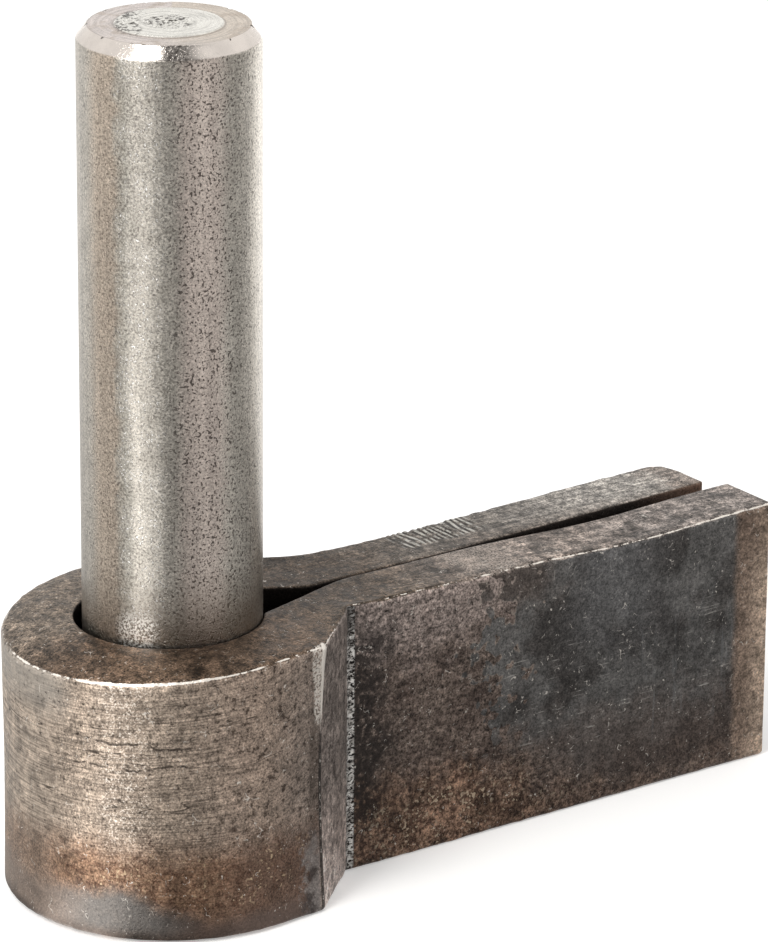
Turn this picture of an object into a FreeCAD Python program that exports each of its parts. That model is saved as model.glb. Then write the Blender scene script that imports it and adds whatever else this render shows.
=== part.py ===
"""Weld-on gate hinge pin: a flat bar folded round a bright round pin and welded beneath.

Frame: origin on the pin's axis at the eye's top plane, +Z up the pin, legs along +X.
"""
import FreeCAD
import Part
import math
import os
import Sketcher

SIZES = [
    # pin
    ("pin_diameter", 16.0),
    ("pin_free_length", 54.0),
    ("pin_chamfer_radial", 0.95),
    ("pin_chamfer_height", 1.3),
    ("pin_root_relief", 0.2),
    ("pin_foot_inset", 2.5),
    ("pin_root_bevel", 1.2),
    # folded bar
    ("strap_width", 25.3),
    ("leg_thickness", 6.7),
    ("front_leg_length", 61.8),
    ("back_leg_length", 60.1),
    ("seam_offset", 1.34),
    ("seam_gap", 0.12),
    ("wedge_start", 28.0),
    ("wedge_opening", 1.4),
    # eye, with the pin pushed off its centre towards the throat
    ("eye_wall", 6.45),
    ("eye_clearance", 0.4),
    ("eye_shift_x", 0.27),
    ("eye_shift_y", 0.2),
    # the bend draws the eye's outer rim in, most of all opposite the legs
    ("saddle_centre_x", 4.0),
    ("saddle_start", 14.0),
    ("saddle_reach", 8.0),
    ("top_rim_drop", 2.0),
    ("under_rim_drop", 0.5),
    # neck between the eye and the legs
    ("front_ridge_x", 6.6),
    ("front_ridge_drop", 0.55),
    ("front_corner_x", 13.3),
    ("back_ridge_x", 7.2),
    ("back_ridge_drop", 0.9),
    ("back_corner_x", 15.6),
    ("throat_front_depth", 4.6),
    ("throat_back_depth", 1.6),
    ("touch_front_x", 17.1),
    ("touch_back_x", 13.4),
    # rounded edges
    ("front_ridge_round", 1.2),
    ("front_corner_round", 1.0),
    ("back_ridge_round", 4.0),
    ("back_corner_round", 8.0),
    ("throat_round", 1.5),
    ("back_end_round", 1.6),
    ("front_end_round", 0.5),
    ("rim_round", 0.6),
    # weld under the eye
    ("weld_recess", 0.5),
    ("weld_height", 5.0),
    ("weld_dish", 0.6),
    ("weld_dish_margin", 1.5),
]

doc = FreeCAD.newDocument("gate_hinge_pin")
sheet = doc.addObject("Spreadsheet::Sheet", "Sizes")
for row, (alias, number) in enumerate(SIZES, start=1):
    sheet.set(f"A{row}", alias)
    sheet.set(f"B{row}", str(number))
    sheet.setAlias(f"B{row}", alias)
doc.recompute()


def cell(alias, factor=1.0):
    """One sheet cell times a factor, as a term of a coordinate."""
    return {alias: factor}


def total(*terms):
    """Sum of terms."""
    result = {}
    for term in terms:
        for alias, factor in term.items():
            result[alias] = result.get(alias, 0.0) + factor
    return result


def negative(term):
    """The term with its sign changed."""
    return {alias: -factor for alias, factor in term.items()}


def value(term):
    """The term's number, used for a sketch's first drawing and for finding edges."""
    return sum(factor * sheet.get(alias) for alias, factor in term.items())


def formula(term):
    """The term as an expression on the sheet."""
    return " + ".join(f"({factor}) * Sizes.{alias}" for alias, factor in term.items())


ZERO = {}
PIN_R = cell("pin_diameter", 0.5)
ROOT_R = total(PIN_R, cell("pin_root_relief", -1.0))
BORE_R = total(PIN_R, cell("eye_clearance"))
EYE_R = total(BORE_R, cell("eye_wall"))
EYE_X = cell("eye_shift_x", -1.0)
EYE_Y = cell("eye_shift_y")
FRONT_IN = total(cell("seam_offset", -1.0), cell("seam_gap", -0.5))
BACK_IN = total(cell("seam_offset", -1.0), cell("seam_gap", 0.5))
FRONT_OUT = total(FRONT_IN, cell("leg_thickness", -1.0))
BACK_OUT = total(BACK_IN, cell("leg_thickness"))
BACK_END_IN = total(BACK_IN, cell("wedge_opening"))
BACK_END_OUT = total(BACK_OUT, cell("wedge_opening"))


def new_sketch(body, name, role):
    """Empty sketch on one of the body's own origin planes."""
    plane = [item for item in body.Origin.OriginFeatures if item.Role == role][0]
    sketch = body.newObject("Sketcher::SketchObject", name)
    sketch.AttachmentSupport = [(plane, "")]
    sketch.MapMode = "FlatFace"
    return sketch


def set_size(sketch, kind, refs, term):
    """Dimension bound to the sheet."""
    index = sketch.addConstraint(Sketcher.Constraint(kind, *refs, value(term)))
    if term:
        sketch.setExpression(f"Constraints[{index}]", formula(term))


def fix_point(sketch, geometry, end, x_term, y_term):
    """Place one end of a curve from the sketch's origin."""
    for kind, term, axis in (("DistanceX", x_term, -2), ("DistanceY", y_term, -1)):
        if term is None:
            continue
        if term:
            set_size(sketch, kind, (-1, 1, geometry, end), term)
        else:
            sketch.addConstraint(Sketcher.Constraint("PointOnObject", geometry, end, axis))


def add_line(sketch, start, finish):
    """Straight line between two drawn points."""
    first = FreeCAD.Vector(start[0], start[1], 0)
    last = FreeCAD.Vector(finish[0], finish[1], 0)
    return sketch.addGeometry(Part.LineSegment(first, last), False)


def polygon(sketch, corners):
    """Closed outline of straight lines, each corner placed from the sheet."""
    drawn = [(value(x_term), value(y_term)) for x_term, y_term in corners]
    lines = []
    for index, point in enumerate(drawn):
        lines.append(add_line(sketch, point, drawn[(index + 1) % len(drawn)]))
    for index, line in enumerate(lines):
        follower = lines[(index + 1) % len(lines)]
        sketch.addConstraint(Sketcher.Constraint("Coincident", line, 2, follower, 1))
    for line, (x_term, y_term) in zip(lines, corners):
        fix_point(sketch, line, 1, x_term, y_term)


def circle(sketch, x_term, y_term, radius):
    """Circle placed and sized from the sheet."""
    centre = FreeCAD.Vector(value(x_term), value(y_term), 0)
    normal = FreeCAD.Vector(0, 0, 1)
    round_line = sketch.addGeometry(Part.Circle(centre, normal, value(radius)), False)
    set_size(sketch, "Radius", (round_line,), radius)
    fix_point(sketch, round_line, 3, x_term, y_term)


def turned(body, name, kind, corners):
    """Revolution or groove of a half section about the pin's axis."""
    sketch = new_sketch(body, f"{name}_section", "XZ_Plane")
    polygon(sketch, corners)
    doc.recompute()
    feature = body.newObject(kind, name)
    feature.Profile = sketch
    feature.ReferenceAxis = (sketch, ["V_Axis"])
    feature.Angle = 360.0
    doc.recompute()
    return feature


def upright_edge(shape, x, y):
    """Name of the edge along Z nearest to a plan point."""
    nearest = None
    for number, edge in enumerate(shape.Edges, start=1):
        ends = [vertex.Point for vertex in edge.Vertexes]
        if len(ends) != 2 or abs(ends[0].z - ends[1].z) < value(cell("strap_width", 0.5)):
            continue
        miss = max(math.hypot(end.x - x, end.y - y) for end in ends)
        if nearest is None or miss < nearest[0]:
            nearest = (miss, f"Edge{number}")
    return nearest[1]


def round_edges(body, base, name, edges, alias):
    """Fillet with its radius on the sheet."""
    fillet = body.newObject("PartDesign::Fillet", name)
    fillet.Base = (base, edges)
    fillet.setExpression("Radius", f"Sizes.{alias}")
    doc.recompute()
    return fillet


# pin: bright round bar, faced and chamfered at the top, relieved where it sits in the eye
PIN_TOP = cell("pin_free_length")
PIN_FOOT = total(cell("strap_width", -1.0), cell("pin_foot_inset"))
CHAMFER_R = total(PIN_R, cell("pin_chamfer_radial", -1.0))
CHAMFER_Z = total(PIN_TOP, cell("pin_chamfer_height", -1.0))
BEVEL_R = total(ROOT_R, cell("pin_root_bevel", -1.0))
BEVEL_Z = total(PIN_FOOT, cell("pin_root_bevel"))

pin = doc.addObject("PartDesign::Body", "pin")
pin.Label = "pin"
turned(pin, "round_bar", "PartDesign::Revolution", [
    (ZERO, PIN_FOOT),
    (BEVEL_R, PIN_FOOT),
    (ROOT_R, BEVEL_Z),
    (ROOT_R, ZERO),
    (PIN_R, ZERO),
    (PIN_R, CHAMFER_Z),
    (CHAMFER_R, PIN_TOP),
    (ZERO, PIN_TOP),
])

# strap: one outline of the folded bar, from the front leg's end round the eye and back
FRONT_RIDGE_Y = total(EYE_Y, negative(EYE_R), cell("front_ridge_drop"))
BACK_RIDGE_Y = total(EYE_Y, EYE_R, cell("back_ridge_drop", -1.0))
THROAT_FRONT_Y = total(EYE_Y, cell("throat_front_depth", -1.0))
THROAT_BACK_Y = total(EYE_Y, cell("throat_back_depth"))

OUTER_FRONT = [
    (cell("touch_front_x"), FRONT_IN),
    (cell("front_leg_length"), FRONT_IN),
    (cell("front_leg_length"), FRONT_OUT),
    (cell("front_corner_x"), FRONT_OUT),
    (cell("front_ridge_x"), FRONT_RIDGE_Y),
]
OUTER_BACK = [
    (cell("back_ridge_x"), BACK_RIDGE_Y),
    (cell("back_corner_x"), BACK_OUT),
    (cell("wedge_start"), BACK_OUT),
    (cell("back_leg_length"), BACK_END_OUT),
    (cell("back_leg_length"), BACK_END_IN),
    (cell("wedge_start"), BACK_IN),
    (cell("touch_back_x"), BACK_IN),
]


def tangent_angle(ridge_x, ridge_y, side):
    """Angle on the eye where a line from the ridge leaves it."""
    across = ridge_x - value(EYE_X)
    along = ridge_y - value(EYE_Y)
    reach = math.hypot(across, along)
    return math.atan2(along, across) + side * math.acos(value(EYE_R) / reach)


def eye_point(radius, angle):
    """Drawn point on a circle about the eye's centre."""
    x = value(EYE_X) + radius * math.cos(angle)
    y = value(EYE_Y) + radius * math.sin(angle)
    return (x, y)


strap = doc.addObject("PartDesign::Body", "strap")
strap.Label = "strap"
fold = new_sketch(strap, "folded_bar_outline", "XY_Plane")
front = [(value(x), value(y)) for x, y in OUTER_FRONT]
back = [(value(x), value(y)) for x, y in OUTER_BACK]
eye_centre = FreeCAD.Vector(value(EYE_X), value(EYE_Y), 0)
upward = FreeCAD.Vector(0, 0, 1)
eye_end = tangent_angle(front[-1][0], front[-1][1], -1.0)
eye_start = tangent_angle(back[0][0], back[0][1], 1.0)
bore_end = math.asin((value(THROAT_FRONT_Y) - value(EYE_Y)) / value(BORE_R))
bore_start = math.asin((value(THROAT_BACK_Y) - value(EYE_Y)) / value(BORE_R))
outer_round = Part.Circle(eye_centre, upward, value(EYE_R))
inner_round = Part.Circle(eye_centre, upward, value(BORE_R))

chain = [add_line(fold, a, b) for a, b in zip(front[:-1], front[1:])]
chain.append(add_line(fold, front[-1], eye_point(value(EYE_R), eye_end)))
front_flat = chain[-1]
outer_arc = fold.addGeometry(
    Part.ArcOfCircle(outer_round, eye_start, eye_end + 2.0 * math.pi), False)
back_flat = add_line(fold, eye_point(value(EYE_R), eye_start), back[0])
back_chain = [add_line(fold, a, b) for a, b in zip(back[:-1], back[1:])]
back_lip = add_line(fold, back[-1], eye_point(value(BORE_R), bore_start))
inner_arc = fold.addGeometry(
    Part.ArcOfCircle(inner_round, bore_start, bore_end + 2.0 * math.pi), False)
front_lip = add_line(fold, eye_point(value(BORE_R), bore_end), front[0])

for line, follower in zip(chain[:-1], chain[1:]):
    fold.addConstraint(Sketcher.Constraint("Coincident", line, 2, follower, 1))
for line, follower in zip([back_flat] + back_chain, back_chain + [back_lip]):
    fold.addConstraint(Sketcher.Constraint("Coincident", line, 2, follower, 1))
fold.addConstraint(Sketcher.Constraint("Coincident", back_lip, 2, inner_arc, 1))
fold.addConstraint(Sketcher.Constraint("Coincident", inner_arc, 2, front_lip, 1))
fold.addConstraint(Sketcher.Constraint("Coincident", front_lip, 2, chain[0], 1))
fold.addConstraint(Sketcher.Constraint("Tangent", front_flat, 2, outer_arc, 2))
fold.addConstraint(Sketcher.Constraint("Tangent", back_flat, 1, outer_arc, 1))
for arc, radius in ((outer_arc, EYE_R), (inner_arc, BORE_R)):
    set_size(fold, "Radius", (arc,), radius)
    fix_point(fold, arc, 3, EYE_X, EYE_Y)
for line, (x_term, y_term) in zip(chain, OUTER_FRONT):
    fix_point(fold, line, 1, x_term, y_term)
for line, (x_term, y_term) in zip(back_chain + [back_lip], OUTER_BACK):
    fix_point(fold, line, 1, x_term, y_term)
fix_point(fold, inner_arc, 1, None, THROAT_BACK_Y)
fix_point(fold, inner_arc, 2, None, THROAT_FRONT_Y)
doc.recompute()

bar = strap.newObject("PartDesign::Pad", "folded_bar")
bar.Profile = fold
bar.setExpression("Length", "Sizes.strap_width")
bar.Reversed = True
doc.recompute()

UPRIGHTS = [
    ("front_ridge", front[4], "front_ridge_round"),
    ("front_corner", front[3], "front_corner_round"),
    ("back_ridge", back[0], "back_ridge_round"),
    ("back_corner", back[1], "back_corner_round"),
    ("back_lip", back[6], "throat_round"),
    ("front_lip", eye_point(value(BORE_R), bore_end), "throat_round"),
    ("back_end", back[3], "back_end_round"),
    ("front_end", front[2], "front_end_round"),
]
shaped = bar
for name, point, alias in UPRIGHTS:
    edge = upright_edge(shaped.Shape, point[0], point[1])
    shaped = round_edges(strap, shaped, name, [edge], alias)


def rim_edges(shape):
    """Names of the outer top and bottom edges of the folded bar."""
    half_leg = value(cell("leg_thickness", 0.5))
    half_wall = value(cell("eye_wall", 0.5))
    seam = value(cell("seam_offset", -1.0))
    names = []
    for number, edge in enumerate(shape.Edges, start=1):
        heights = [vertex.Point.z for vertex in edge.Vertexes]
        middle = edge.valueAt((edge.FirstParameter + edge.LastParameter) / 2.0)
        if max(heights) - min(heights) > value(cell("rim_round")):
            continue
        from_eye = math.hypot(middle.x - value(EYE_X), middle.y - value(EYE_Y))
        on_leg = middle.x > value(cell("front_corner_x"))
        outside = abs(middle.y - seam) > half_leg + value(cell("wedge_opening"))
        if (on_leg and outside) or (not on_leg and from_eye > value(BORE_R) + half_wall):
            names.append(f"Edge{number}")
    return names


shaped = round_edges(strap, shaped, "rim", rim_edges(shaped.Shape), "rim_round")

SADDLE_SWEEP = 236.0
SADDLE_X = cell("saddle_centre_x")
SADDLE_IN = total(SADDLE_X, cell("saddle_start", -1.0))
SADDLE_OUT = total(SADDLE_IN, cell("saddle_reach", -1.0))
UNDER = cell("strap_width", -1.0)


def saddle_cut(name, corners):
    """Groove round an upright axis beyond the eye, so that it is deepest opposite the legs."""
    sketch = new_sketch(strap, f"{name}_section", "XZ_Plane")
    polygon(sketch, corners)
    low = (value(SADDLE_X), value(UNDER))
    high = (value(SADDLE_X), 0.0)
    axis = add_line(sketch, low, high)
    sketch.setConstruction(axis, True)
    fix_point(sketch, axis, 1, SADDLE_X, UNDER)
    fix_point(sketch, axis, 2, SADDLE_X, ZERO)
    doc.recompute()
    groove = strap.newObject("PartDesign::Groove", name)
    groove.Profile = sketch
    groove.ReferenceAxis = (sketch, ["Axis0"])
    groove.Angle = SADDLE_SWEEP
    groove.Midplane = True
    doc.recompute()
    return groove


shaped = saddle_cut("top_rim_drop", [
    (SADDLE_IN, ZERO),
    (SADDLE_OUT, ZERO),
    (SADDLE_OUT, cell("top_rim_drop", -1.0)),
])
shaped = saddle_cut("under_rim_drop", [
    (SADDLE_IN, UNDER),
    (SADDLE_OUT, UNDER),
    (SADDLE_OUT, total(UNDER, cell("under_rim_drop"))),
])

# weld: fills the foot of the bore round the pin's root, sunk below the strap's underside
WELD_FOOT = total(cell("strap_width", -1.0), cell("weld_recess"))
WELD_TOP = total(WELD_FOOT, cell("weld_height"))
DISH_R = total(ROOT_R, cell("weld_dish_margin", -1.0))
DISH_Z = total(WELD_FOOT, cell("weld_dish"))

weld = doc.addObject("PartDesign::Body", "weld")
weld.Label = "weld"
pool = new_sketch(weld, "pool_outline", "XY_Plane")
pool.setExpression("AttachmentOffset.Base.z", formula(WELD_FOOT))
circle(pool, EYE_X, EYE_Y, BORE_R)
doc.recompute()
fill = weld.newObject("PartDesign::Pad", "pool_fill")
fill.Profile = pool
fill.setExpression("Length", "Sizes.weld_height")
doc.recompute()
turned(weld, "root_seat", "PartDesign::Groove", [
    (ZERO, PIN_FOOT),
    (BEVEL_R, PIN_FOOT),
    (ROOT_R, BEVEL_Z),
    (ROOT_R, WELD_TOP),
    (ZERO, WELD_TOP),
])
turned(weld, "dish", "PartDesign::Groove", [
    (ZERO, WELD_FOOT),
    (DISH_R, WELD_FOOT),
    (ZERO, DISH_Z),
])

doc.recompute()
for item in doc.Objects:
    if "Invalid" in item.State or "Error" in item.State:
        raise RuntimeError(f"{item.Name}: {item.State}")

os.makedirs("parts", exist_ok=True)
for body in (strap, pin, weld):
    shape = body.Shape
    if shape.isNull() or not shape.isValid() or len(shape.Solids) != 1:
        raise RuntimeError(f"{body.Name} is not one valid solid")
    shape.exportStep(f"parts/{body.Label}.step")
    print(body.Label, round(shape.Volume, 1), [round(x, 2) for x in (
        shape.BoundBox.XMin, shape.BoundBox.XMax, shape.BoundBox.YMin,
        shape.BoundBox.YMax, shape.BoundBox.ZMin, shape.BoundBox.ZMax)])
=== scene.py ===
"""Looks of the weld-on gate hinge pin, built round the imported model."""
import math
import bpy
import numpy as np
from mathutils import Matrix, Vector


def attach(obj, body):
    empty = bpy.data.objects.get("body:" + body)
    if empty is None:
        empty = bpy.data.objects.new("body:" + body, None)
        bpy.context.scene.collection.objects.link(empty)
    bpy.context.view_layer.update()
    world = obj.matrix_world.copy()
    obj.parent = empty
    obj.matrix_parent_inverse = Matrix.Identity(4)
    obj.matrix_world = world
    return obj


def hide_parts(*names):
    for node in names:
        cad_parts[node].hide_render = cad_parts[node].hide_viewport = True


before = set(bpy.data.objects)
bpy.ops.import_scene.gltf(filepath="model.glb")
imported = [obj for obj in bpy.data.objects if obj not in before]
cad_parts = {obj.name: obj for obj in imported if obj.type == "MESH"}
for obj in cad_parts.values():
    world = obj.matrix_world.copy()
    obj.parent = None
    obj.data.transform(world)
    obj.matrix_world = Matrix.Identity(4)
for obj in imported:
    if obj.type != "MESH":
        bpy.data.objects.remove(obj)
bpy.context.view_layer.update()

MM = 0.001
BODY = "root"
IMAGE_WIDTH = 768
FOCAL_PX = 5669.2
SENSOR_MM = 36.0
YAW = math.radians(35.883)
PITCH = math.radians(19.777)
ROLL = math.radians(0.434)
CAMERA_MM = (-258.57, -389.12, 181.36)
CLIP_METRES = (0.01, 20.0)
BEHIND = Vector((math.sin(YAW), math.cos(YAW), 0.0))
RIGHT = Vector((math.cos(YAW), -math.sin(YAW), 0.0))
UPWARD = Vector((0.0, 0.0, 1.0))


# Helpers for shader nodes

def srgb(colour):
    """Linear colour from screen values, 0 to 255. A socket stays as it is."""
    if isinstance(colour, bpy.types.NodeSocket):
        return colour
    parts = [channel / 255.0 for channel in colour]
    return tuple(part / 12.92 if part <= 0.04045 else ((part + 0.055) / 1.055) ** 2.4 for part in parts)


class Shader:
    """Short hand for wiring a material or a world. A mask is a socket, a number or a tuple for a ramp."""

    def __init__(self, owner, output_kind="ShaderNodeOutputMaterial"):
        owner.use_nodes = True
        self.owner = owner
        self.tree = owner.node_tree
        self.tree.nodes.clear()
        self.output = self.node(output_kind)

    def put(self, socket, source):
        """Link a socket to an output, or set it to a constant."""
        if isinstance(source, bpy.types.NodeSocket):
            self.tree.links.new(source, socket)
        elif socket.type == "RGBA":
            socket.default_value = (*source, 1.0)
        else:
            socket.default_value = source

    def node(self, kind, sources=(), **settings):
        """New node, with its settings and with its inputs filled by name or in order."""
        node = self.tree.nodes.new(kind)
        for key, setting in settings.items():
            setattr(node, key, setting)
        for key, source in sources.items() if isinstance(sources, dict) else enumerate(sources):
            self.put(node.inputs[key], source)
        return node

    def math(self, operation, *sources):
        return self.node("ShaderNodeMath", sources, operation=operation).outputs[0]

    def add(self, value, factor, base):
        """Base plus a value times a factor."""
        return self.math("MULTIPLY_ADD", value, factor, base)

    def less(self, first, second):
        return self.math("SUBTRACT", first, second)

    def gap(self, value, level):
        """Distance of a value from a level."""
        return self.math("ABSOLUTE", self.less(value, level))

    def vector(self, operation, *sources):
        return self.node("ShaderNodeVectorMath", sources, operation=operation).outputs

    def shift(self, vector, offset, amount):
        """Vector moved by another one, counted from a half, for ragged borders."""
        centred = self.vector("SUBTRACT", offset, (0.5, 0.5, 0.5))[0]
        return self.vector("MULTIPLY_ADD", centred, (amount, amount, amount), vector)[0]

    def ramp(self, value, low, high, start=0.0, finish=1.0, kind="SMOOTHSTEP"):
        """Value moved from low..high to start..finish."""
        sources = (value, low, high, start, finish)
        return self.node("ShaderNodeMapRange", sources, clamp=True, interpolation_type=kind).outputs[0]

    def all_of(self, *masks):
        """Product of masks."""
        result = None
        for mask in masks:
            value = self.ramp(*mask) if isinstance(mask, tuple) else mask
            result = value if result is None else self.math("MULTIPLY", result, value)
        return result

    def either(self, *masks):
        """Largest of some masks."""
        first, *others = (self.all_of(mask) for mask in masks)
        for other in others:
            first = self.math("MAXIMUM", first, other)
        return first

    def mix(self, mask, first, second):
        """Colour mix."""
        sources = {0: self.all_of(mask), 6: srgb(first), 7: srgb(second)}
        return self.node("ShaderNodeMix", sources, data_type="RGBA").outputs[2]

    def layer(self, colour, *rows):
        """Colour under shades, each row a shade, its strength if below one, and its masks."""
        for shade, *masks in rows:
            colour = self.mix(self.all_of(*masks), colour, shade)
        return colour

    def blend(self, mask, first, second):
        """Number mix."""
        sources = {0: self.all_of(mask), 2: first, 3: second}
        return self.node("ShaderNodeMix", sources, data_type="FLOAT").outputs[0]

    def tone(self, colour, factor):
        """Colour made lighter or darker by a factor."""
        sources = {0: srgb(colour), "Scale": factor}
        return self.node("ShaderNodeVectorMath", sources, operation="SCALE").outputs[0]

    def varied(self, colour, value, dark, light, low=0.34, high=0.66):
        """Colour made darker or lighter as a value goes from low to high."""
        return self.tone(colour, self.ramp(value, low, high, dark, light, "LINEAR"))

    def split(self, vector):
        return self.node("ShaderNodeSeparateXYZ", (vector,)).outputs[0:3]

    def turn(self, vector):
        """Degrees round the pin's axis, 0 at the front and positive to the right."""
        sideways, ahead = (self.vector("DOT_PRODUCT", vector, way)["Value"] for way in (RIGHT, -BEHIND))
        return self.math("MULTIPLY", self.math("ARCTAN2", sideways, ahead), 180.0 / math.pi)


class Steel(Shader):
    """Metal surface, with places on the part in millimetres."""

    def __init__(self, name):
        super().__init__(bpy.data.materials.new(name))
        self.place = self.in_mm(self.node("ShaderNodeTexCoord").outputs["Object"])
        self.x, self.y, self.z = self.split(self.place)

    def in_mm(self, vector):
        return self.vector("MULTIPLY", vector, (1.0 / MM, 1.0 / MM, 1.0 / MM))[0]

    def unrolled_mm(self):
        """Unrolled surface coordinates."""
        return self.in_mm(self.node("ShaderNodeUVMap", uv_map="unrolled").outputs[0])

    def noise(self, scale, detail, roughness=0.55, vector=None, output="Fac"):
        """Noise of one scale, or stretched by a scale for each axis, at the place or another vector."""
        vector = vector or self.place
        if isinstance(scale, tuple):
            vector = self.vector("MULTIPLY", vector, scale)[0]
            scale = 1.0
        sources = {"Vector": vector, "Scale": scale, "Detail": detail, "Roughness": roughness}
        return self.node("ShaderNodeTexNoise", sources).outputs[output]

    def attribute(self, name):
        return self.node("ShaderNodeAttribute", attribute_name=name).outputs["Fac"]

    def radius(self):
        """Distance from the pin's axis."""
        return self.math("SQRT", self.add(self.x, self.x, self.all_of(self.y, self.y)))

    def grained(self, colour, dark, light):
        """Colour broken up by the finest grain."""
        return self.varied(colour, self.fine, dark, light, 0.36, 0.64)

    def finish(self, colour, roughness, metallic, relief, depth, strength):
        """Surface from all that the metal needs, with a relief of some depth in metres."""
        bump = self.node("ShaderNodeBump", {"Height": relief, "Distance": depth, "Strength": strength})
        sources = {"Base Color": colour, "Roughness": roughness, "Metallic": metallic,
                   "Normal": bump.outputs[0]}
        surface = self.node("ShaderNodeBsdfPrincipled", sources)
        self.put(self.output.inputs["Surface"], surface.outputs[0])
        return self.owner


# Helpers for meshes

HASH_AXES = np.array((374761393, 668265263, 2147483647))
HASH_MIX = 1274126177
HASH_BITS = 0xFFFF


def lattice_noise(points, scale, seed):
    """Smooth repeatable noise in -1..1 at an array of points."""
    scaled = points.reshape(-1, 3) / np.asarray(scale, dtype=float)
    cell = np.floor(scaled).astype(np.int64)
    part = scaled - cell
    part = part * part * (3.0 - 2.0 * part)
    total = np.zeros(len(scaled))
    for corner in np.ndindex(2, 2, 2):
        key = (cell + corner) @ HASH_AXES + seed * HASH_MIX
        key = (key ^ (key >> 13)) * HASH_MIX
        key = (key ^ (key >> 16)) & HASH_BITS
        weight = np.prod(np.where(corner, part, 1.0 - part), axis=1)
        total += weight * (2.0 * key / HASH_BITS - 1.0)
    return total.reshape(points.shape[:-1])


def noise_sum(points, *terms):
    """Sum of noises, each given by its weight, scale and seed."""
    return sum(weight * lattice_noise(points, scale, seed) for weight, scale, seed in terms)


def smooth_step(values, low, high):
    """Smooth 0..1 rise between two values."""
    part = np.clip((np.asarray(values, dtype=float) - low) / (high - low), 0.0, 1.0)
    return part * part * (3.0 - 2.0 * part)


def plateau(values, rise, risen, fall, fallen):
    """Smooth rise to one and fall back."""
    return smooth_step(values, rise, risen) * (1.0 - smooth_step(values, fall, fallen))


def hump(values, centre, width):
    """Smooth bump of height one."""
    return np.exp(-((values - centre) / width) ** 2)


def circle(angles):
    """Points of the unit circle at angles in degrees."""
    turns = np.radians(angles)
    return np.stack([np.cos(turns), np.sin(turns)], axis=1)


def path_lengths(path):
    return np.concatenate([[0.0], np.cumsum(np.linalg.norm(np.diff(path, axis=0), axis=1))])


def show(thing, name):
    """New object in the scene."""
    piece = bpy.data.objects.new(name, thing)
    bpy.context.scene.collection.objects.link(piece)
    return piece


def make_mesh(name, points_mm, faces, uv, attributes):
    """Mesh object from millimetre points, with point attributes and corner coordinates."""
    mesh = bpy.data.meshes.new(name)
    mesh.from_pydata([tuple(point) for point in points_mm * MM], [], faces)
    for key, values in attributes.items():
        layer = mesh.attributes.new(key, "FLOAT", "POINT")
        layer.data.foreach_set("value", values.astype(np.float32).ravel())
    layer = mesh.uv_layers.new(name="unrolled")
    layer.data.foreach_set("uv", (np.asarray(uv, dtype=np.float32) * MM).ravel())
    mesh.polygons.foreach_set("use_smooth", [True] * len(mesh.polygons))
    mesh.validate()
    mesh.update()
    return show(mesh, name)


def turned(profile, turns):
    """Radius, angle and height of each point of a turned form, ring by ring."""
    angle = np.tile(np.linspace(0.0, 2.0 * math.pi, turns, endpoint=False), len(profile))
    radius, height = np.repeat(profile, turns, axis=0).T
    return radius, angle, height


def placed(centre, radius, angle, height):
    return np.stack([centre[0] + radius * np.cos(angle), centre[1] + radius * np.sin(angle), height], axis=1)


def lathe_faces(profile, turns):
    """Faces and unrolled coordinates of a turned form, closed by one pole at each end."""
    faces = []
    uv = []
    rings = len(profile)
    poles = rings * turns
    last = poles - turns
    lengths = path_lengths(profile)
    across = np.arange(turns + 1) * 2.0 * math.pi / turns * profile[:, 0].max()
    for turn in range(turns):
        after = (turn + 1) % turns
        left, right = across[turn:turn + 2]
        for ring in range(rings - 1):
            low = ring * turns
            high = low + turns
            faces.append((low + turn, low + after, high + after, high + turn))
            start, end = lengths[ring:ring + 2]
            uv += [(left, start), (right, start), (right, end), (left, end)]
        faces += [(poles, after, turn), (poles + 1, last + turn, last + after)]
        uv += [(left, 0.0), (right, 0.0), (left, 0.0)]
        uv += [(left, lengths[-1]), (left, lengths[-1]), (right, lengths[-1])]
    return faces, uv


# Strap: plan of the folded bar, in millimetres, as it is packed

EYE = np.array((-0.27, 0.2))
BORE_R = 8.4
EYE_R = 14.85
TOP = 0.0
UNDER = -25.3
FRONT_END = 61.8
BACK_END = 60.1
FRONT_IN = -1.4
BACK_IN = -1.28
FRONT_OUT = -8.1
BACK_OUT = 5.42
WEDGE = 1.4
WEDGE_START = 28.0
WEDGE_ROUND = 60.0
FRONT_RIDGE = (6.6, -14.1)
FRONT_CORNER = (13.3, FRONT_OUT)
BACK_RIDGE = (7.2, 14.15)
BACK_CORNER = (15.6, BACK_OUT)
FRONT_THROAT = (17.1, FRONT_IN)
BACK_THROAT = (13.4, BACK_IN)
THROAT_FRONT_DEGREES = -33.2
THROAT_BACK_DEGREES = 11.0
FRONT_END_ROUND = 0.25
BACK_END_ROUND = 2.4
END_EDGE = 0.2
END_STEPS = 4
FRONT_STOP = FRONT_END - END_EDGE
BACK_STOP = BACK_END - END_EDGE
ARC_STEPS = 160
FILLET_STEPS = 14
LONGEST_CUT = 0.95


def wedge(x):
    """How far the back leg has opened away from the front one."""
    return WEDGE * max(0.0, x - WEDGE_START) / (BACK_END - WEDGE_START)


def eye_arc(radius, start_degrees, finish_degrees):
    return EYE + radius * circle(np.linspace(start_degrees, finish_degrees, ARC_STEPS))


def tangent_degrees(point, side):
    """Where a line from a point outside meets the eye's outer circle."""
    away = np.asarray(point) - EYE
    turn = math.acos(EYE_R / np.linalg.norm(away))
    return math.degrees(math.atan2(away[1], away[0]) + side * turn)


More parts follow.
